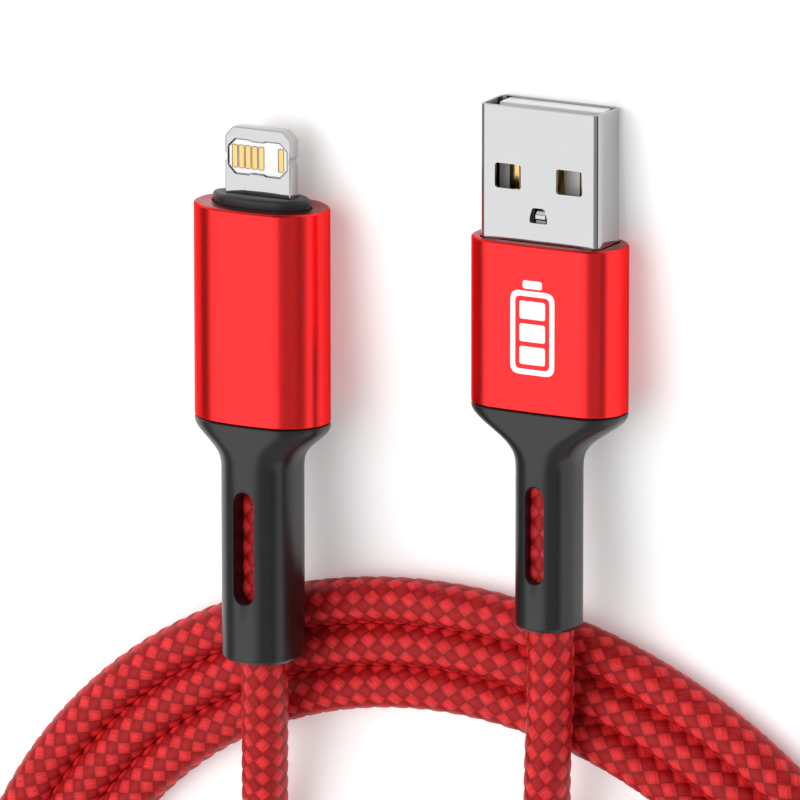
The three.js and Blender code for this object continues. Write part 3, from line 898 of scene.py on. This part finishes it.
WINDOW_NOTCH = 0.12          # depth of the shallow notch in the window's long sides
NOTCH_HALF_WIDTHS = (0.9, 0.6)           # at its mouth and at its floor
WINDOW_EDGE = 0.12           # chamfer round the window, on both faces
SCOOP_STEPS = 32             # facets round a side detent's cutter
INSULATOR_GAP = 0.02         # between the insulator's sides and the frame's window
INSULATOR_FACE = 0.03        # depths under the insulator's nominal face: its visual face,
PAD_TOP = 0.005              # a contact's top,
PAD_UNDERSIDE = 0.14         # its underside
PAD_POCKET = 0.16            # and the floor of its pocket
PAD_GAP = 0.05               # round a contact, in its pocket
COLLAR_EDGE = 0.2            # chamfer round the collar's front


def window_outline(width, height, chamfer, y):
    """Eight-sided, with a shallow notch in the middle of its top and bottom."""
    w, h, c = width / 2, height / 2, chamfer
    mouth, floor = NOTCH_HALF_WIDTHS
    top, bottom = y + h, y - h
    upper, lower = top - WINDOW_NOTCH, bottom + WINDOW_NOTCH
    return [
        (w, bottom + c), (w, top - c), (w - c, top),
        (mouth, top), (floor, upper), (-floor, upper), (-mouth, top),
        (c - w, top), (-w, top - c), (-w, bottom + c), (c - w, bottom),
        (-mouth, bottom), (-floor, lower), (floor, lower), (mouth, bottom),
        (w - c, bottom),
    ]


def add_slim():
    plug, at = SLIM, SLIM_AT
    width, thickness = plug["frame"]
    tip, tail, chamfer = plug["exposed"], -plug["hidden"], plug["frame_chamfer"]
    outline = rounded_outline([
        (width / 2, tail), (width / 2, tip - chamfer), (width / 2 - chamfer, tip),
        (chamfer - width / 2, tip), (-width / 2, tip - chamfer), (-width / 2, tail),
    ], 0.22)
    body = slab(outline, -thickness / 2, thickness / 2, 0.12)
    window_y = tip - plug["window_from_tip"]
    window = window_outline(*plug["window"], plug["window_chamfer"], window_y)
    window = rounded_outline(window, 0.07, 4)
    flared = shrunk(window, -WINDOW_EDGE)
    face = thickness / 2
    cutters = [stack([
        (flared, -face - 0.05), (flared, -face), (window, -face + WINDOW_EDGE),
        (window, face - WINDOW_EDGE), (flared, face), (flared, face + 0.05),
    ])]
    radius = plug["detent_radius"]
    reach = width / 2 + radius - plug["detent_depth"]
    scoop_y = tip - plug["detent_from_tip"]
    turns = [2 * math.pi * k / SCOOP_STEPS for k in range(SCOOP_STEPS)]
    for side in (-1, 1):
        scoop = [(side * reach + radius * math.cos(a), scoop_y + radius * math.sin(a)) for a in turns]
        cutters.append(stack([(scoop, -thickness), (scoop, thickness)]))
    frame_mesh = placed(carved(body, cutters), at)
    finish_piece("slim_frame", frame_mesh, [STEEL], ["slim_frame"], smooth_angle=30)

    depth = plug["insulator_thickness"] / 2
    block = shrunk(window, INSULATOR_GAP)
    insulator = slab(block, -depth + INSULATOR_FACE, depth - INSULATOR_FACE, 0.05)
    pads, pockets = [], []
    for face_name, side in (("front", 1), ("back", -1)):
        for i, place in enumerate(plug["contact_places"]):
            x = side * (place - (plug["places"] - 1) / 2) * plug["contact_pitch"]
            shape = rounded_outline(rectangle(*plug["contact"], x, window_y), 0.15)
            pocket = shrunk(shape, -PAD_GAP)
            levels = (side * (depth - PAD_POCKET), side * (depth + 0.1))
            pockets.append(stack([(pocket, z) for z in levels]))
            low, high = sorted((side * (depth - PAD_UNDERSIDE), side * (depth - PAD_TOP)))
            pads.append((f"slim_contact_{face_name}_{i + 1}", slab(shape, low, high, 0.05)))
    insulator_mesh = placed(carved(insulator, pockets), at)
    finish_piece(
        "slim_insulator", insulator_mesh, [WHITE], ["slim_insulator"],
        smooth_angle=30)
    for name, pad in pads:
        finish_piece(name, placed(pad, at), [GOLD], [name])

    collar = plug["collar"]
    hole = (width + 0.1, thickness + 0.1, 0.15, 0.0)
    front, back = plug["collar_exposed"], -plug["collar_hidden"]
    collar_mesh = placed(ring_skin(softened([
        (back, *collar), (front - COLLAR_EDGE, *collar), (front, *inset(collar, COLLAR_EDGE)),
        (front, *hole), (back, *hole),
    ], 0.12)), at)
    finish_piece("slim_collar", collar_mesh, [BLACK], ["slim_collar"])

    add_sleeve("slim_sleeve", plug, at, collar)
    add_boot("slim_boot", plug, at)


# ---- hidden CAD pieces that stay, with better materials ------------------------------------------


def dress_hidden_pieces():
    looks = {"slim_circuit_board": BOARD, "slim_chip": BLACK}
    for prefix in ("type_a", "slim"):
        looks[f"{prefix}_inner_block"] = INNER
        looks[f"{prefix}_ferrule"] = STEEL
        for i, wire in enumerate(WIRES):
            looks[f"{prefix}_wire_{i + 1}"] = wire
    for node, material in looks.items():
        for material_slot in frame["nodes"][node].material_slots:
            material_slot.material = material


# ---- the floor and the light ---------------------------------------------------------------------


def add_floor():
    bm = bmesh.new()
    bmesh.ops.create_grid(bm, x_segments=1, y_segments=1, size=1.5)
    mesh = bpy.data.meshes.new("floor")
    bm.to_mesh(mesh)
    bm.free()
    floor = bpy.data.objects.new("floor", mesh)
    bpy.context.scene.collection.objects.link(floor)
    material, _, _, shader = node_material("floor")
    shader.inputs["Base Color"].default_value = (0.92, 0.92, 0.92, 1)
    shader.inputs["Roughness"].default_value = 0.9
    shader.inputs["Emission Color"].default_value = (1, 1, 1, 1)
    shader.inputs["Emission Strength"].default_value = 0.2
    mesh.materials.append(material)


def add_key_light(direction, distance, size, power):
    """A soft square light that shines on the view's centre from a direction."""
    data = bpy.data.lights.new("key", "AREA")
    data.shape = "SQUARE"
    data.size = size
    data.energy = power
    light = bpy.data.objects.new("key", data)
    light.visible_glossy = False     # metal shows the surround's parts instead
    away = Vector(direction).normalized()
    turn = away.to_track_quat("Z", "Y").to_matrix().to_4x4()
    light.matrix_world = Matrix.Translation(VIEW_CENTRE + away * distance) @ turn
    bpy.context.scene.collection.objects.link(light)


# Parts of the surround that are dimmer or brighter than the rest: a direction in the row frame, the
# cosines of the angles from it where the change starts and ends, and the brightness inside it, as a
# multiple of the rest's.
SURROUND_PARTS = (
    ((-0.41, -0.142, 0.9), 0.766, 0.951, 2.9),
    ((0.42, -0.14, 0.9), 0.93, 0.985, 0.8),
    ((0.93, -0.36, 0.08), 0.82, 0.97, 2.4),
    ((0.841, -0.184, 0.508), 0.975, 0.993, 0.12),
    ((-0.95, -0.3, 0.1), 0.8, 0.96, 0.4),
    ((0.2, 0.95, 0.3), 0.8, 0.95, 0.3),
)
WORLD_STRENGTH = 0.6


def studio_world():
    """A pale surround with dim and bright parts, so that metal shows soft light and dark bands."""
    world = bpy.data.worlds.new("studio")
    world.use_nodes = True
    nodes, links = world.node_tree.nodes, world.node_tree.links
    direction = nodes.new("ShaderNodeTexCoord").outputs["Generated"]
    level = None
    for toward, start, stop, inside in SURROUND_PARTS:
        dot = nodes.new("ShaderNodeVectorMath")
        dot.operation = "DOT_PRODUCT"
        dot.inputs[1].default_value = Vector(toward).normalized()
        links.new(direction, dot.inputs[0])
        fade = nodes.new("ShaderNodeMapRange")
        fade.interpolation_type = "SMOOTHSTEP"
        fade.inputs["From Min"].default_value = start
        fade.inputs["From Max"].default_value = stop
        fade.inputs["To Min"].default_value = 1.0
        fade.inputs["To Max"].default_value = inside
        links.new(dot.outputs["Value"], fade.inputs["Value"])
        part = fade.outputs["Result"]
        level = part if level is None else math_node(nodes, links, "MULTIPLY", level, part)
    strength = math_node(nodes, links, "MULTIPLY", level, WORLD_STRENGTH)
    nodes["Background"].inputs["Color"].default_value = (1, 1, 1, 1)
    links.new(strength, nodes["Background"].inputs["Strength"])
    return world


def add_lights():
    bpy.context.scene.world = studio_world()
    add_key_light((-0.35, 0.3, 0.89), distance=0.6, size=0.7, power=2.1)
    bpy.context.scene.view_settings.view_transform = "Standard"


braided_cord()
add_type_a()
add_slim()
dress_hidden_pieces()
add_floor()
add_lights()
